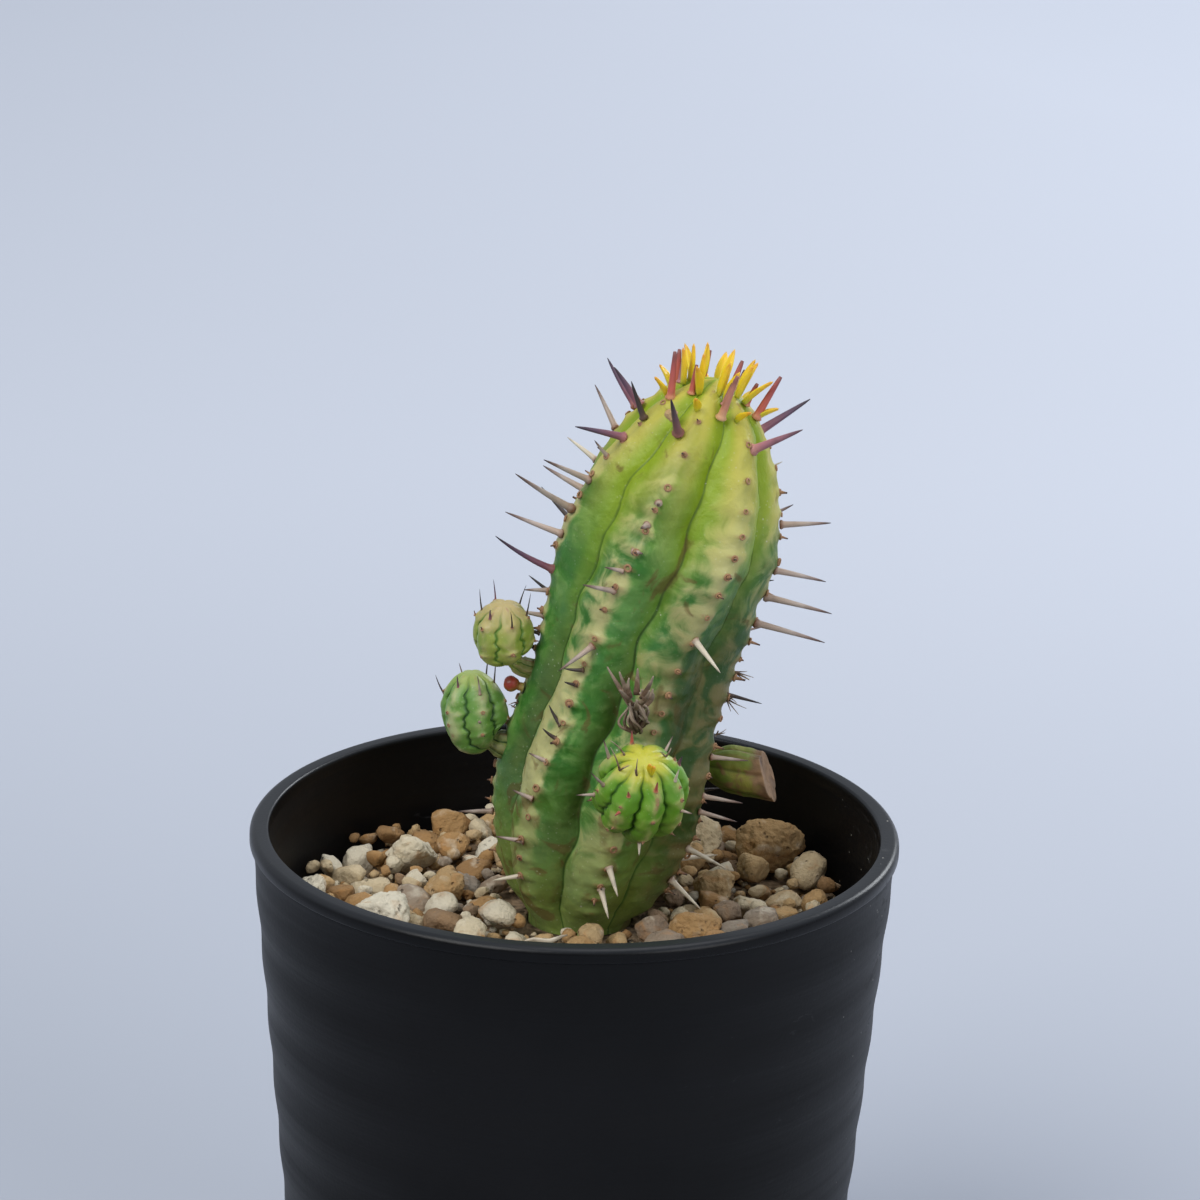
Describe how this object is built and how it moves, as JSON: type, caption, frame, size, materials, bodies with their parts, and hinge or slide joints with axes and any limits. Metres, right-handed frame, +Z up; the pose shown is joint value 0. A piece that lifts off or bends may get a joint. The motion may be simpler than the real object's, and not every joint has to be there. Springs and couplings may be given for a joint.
{
  "type": "potted euphorbia",
  "caption": "Small ribbed, spiny euphorbia with round offsets and a yellow-leaved tip, rooted in a plain black plastic pot dressed with pale pumice gravel.",
  "frame": {"origin": "centre of the pot's foot, on the surface that it stands on", "axes": "+Z up the pot's axis, -Y towards the front, +X to the right, the way the stem leans"},
  "size_m": [0.075, 0.075, 0.1377],
  "materials": {
    "black_pot": "satin",
    "potting_soil": "matte",
    "pumice_grit": "matte",
    "pumice_stone": "matte",
    "root_bark": "matte",
    "stem_skin": "satin",
    "young_skin": "satin",
    "healed_cut": "matte",
    "red_bud": "satin",
    "dried_husk": "matte",
    "yellow_leaf": "satin",
    "spine_wood": "satin"
  },
  "bodies": {
    "root": {"pot": "black_pot", "potting_soil": "potting_soil", "gravel_bed": "pumice_grit", "roots": "root_bark", "stem": "stem_skin", "pup_front": "young_skin", "pup_left_low": "young_skin", "pup_left_high": "young_skin", "cut_branch": "healed_cut", "red_bud": "red_bud", "dried_flower": "dried_husk", "crown_crumb": "pumice_stone", "leaf_01": "yellow_leaf", "leaf_02": "yellow_leaf", "leaf_03": "yellow_leaf", "leaf_04": "yellow_leaf", "leaf_05": "yellow_leaf", "leaf_06": "yellow_leaf", "leaf_07": "yellow_leaf", "spine_01": "spine_wood", "spine_02": "spine_wood", "spine_03": "spine_wood", "spine_04": "spine_wood", "spine_05": "spine_wood", "spine_06": "spine_wood", "spine_07": "spine_wood", "spine_08": "spine_wood", "spine_09": "spine_wood", "spine_10": "spine_wood", "spine_11": "spine_wood", "spine_12": "spine_wood", "spine_13": "spine_wood", "spine_14": "spine_wood", "spine_15": "spine_wood", "spine_16": "spine_wood", "spine_17": "spine_wood", "spine_18": "spine_wood", "spine_19": "spine_wood", "spine_20": "spine_wood", "spine_21": "spine_wood", "spine_22": "spine_wood", "stone_01": "pumice_stone", "stone_02": "pumice_stone", "stone_03": "pumice_stone", "stone_04": "pumice_stone", "stone_05": "pumice_stone", "stone_06": "pumice_stone", "stone_07": "pumice_stone", "stone_08": "pumice_stone", "stone_09": "pumice_stone", "stone_10": "pumice_stone", "stone_11": "pumice_stone", "stone_12": "pumice_stone", "stone_13": "pumice_stone", "stone_14": "pumice_stone", "stone_15": "pumice_stone", "stone_16": "pumice_stone", "stone_17": "pumice_stone", "stone_18": "pumice_stone"}
  },
  "joints": []
}
